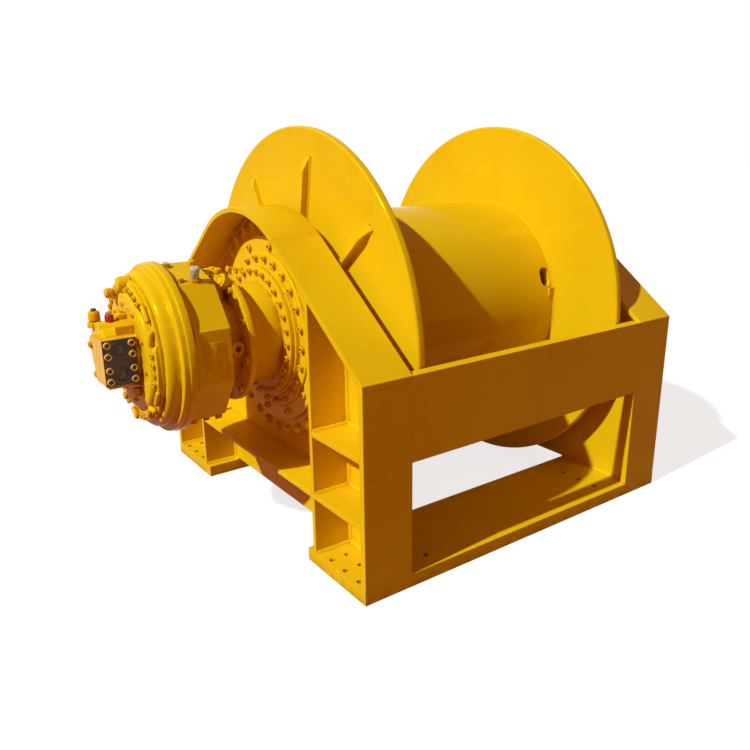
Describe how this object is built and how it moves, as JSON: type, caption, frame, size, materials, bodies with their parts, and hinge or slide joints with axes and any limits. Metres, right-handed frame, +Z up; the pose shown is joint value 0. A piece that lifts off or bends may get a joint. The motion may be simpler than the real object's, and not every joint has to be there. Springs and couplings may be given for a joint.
{
  "type": "mooring winch",
  "caption": "Hydraulic mooring winch: flanged rope drum in a bolted-down plate frame, driven by a radial piston motor through a planetary gearbox.",
  "frame": {"origin": "floor plane at the centre of the deck bolt pattern, under the middle of the drum", "axes": "+X along the drum axis away from the drive, +Y to the rear, +Z up"},
  "size_m": [1.7335, 1.325, 1.2515],
  "materials": {
    "winch_paint": "glossy marine topcoat with runs, scuffs and small chips",
    "port_block_steel": "dark bare and lightly oiled port face",
    "shaft_steel": "turned steel",
    "breather_plastic": "cloudy clear plastic",
    "plug_plastic": "red transport plug"
  },
  "bodies": {
    "frame": {"bearing_cap": "winch_paint", "bearing_housing": "winch_paint", "front_base_plate": "winch_paint", "front_cross_beam": "winch_paint", "gearbox_adapter_flange": "winch_paint", "gearbox_brake_housing": "winch_paint", "gearbox_cover_flange": "winch_paint", "gearbox_mounting_flange": "winch_paint", "gearbox_mounting_ring": "winch_paint", "gearbox_ring_gear_housing": "winch_paint", "gearbox_spindle": "winch_paint", "left_arch_plate": "winch_paint", "left_column_plates": "winch_paint", "left_shelves": "winch_paint", "left_slope_plates": "winch_paint", "left_stiffeners": "winch_paint", "left_web_plate": "winch_paint", "motor_bell_housing": "winch_paint", "motor_breather_cap": "breather_plastic", "motor_cylinder_block": "winch_paint", "motor_distributor": "winch_paint", "motor_drain_boss": "winch_paint", "motor_front_cover": "winch_paint", "motor_neck": "winch_paint", "motor_plug": "plug_plastic", "motor_port_block": "port_block_steel", "rear_base_plate": "winch_paint", "rear_cross_beam": "winch_paint", "right_arch_plate": "winch_paint", "right_column_plates": "winch_paint", "right_shelves": "winch_paint", "right_slope_plates": "winch_paint", "right_stiffeners": "winch_paint", "right_web_plate": "winch_paint"},
    "drum": {"drum_barrel": "winch_paint", "drum_left_flange": "winch_paint", "drum_left_flange_ribs": "winch_paint", "drum_left_hub_ring": "winch_paint", "drum_right_flange": "winch_paint", "drum_right_flange_ribs": "winch_paint", "drum_right_hub_ring": "winch_paint", "drum_rope_anchor_wedge": "winch_paint", "drum_stub_shaft": "shaft_steel"}
  },
  "joints": [
    {"name": "drum_spin", "type": "hinge", "parent": "frame", "child": "drum", "pos_m": [0, 0, 0.63], "axis": [1, 0, 0], "continuous": true}
  ]
}
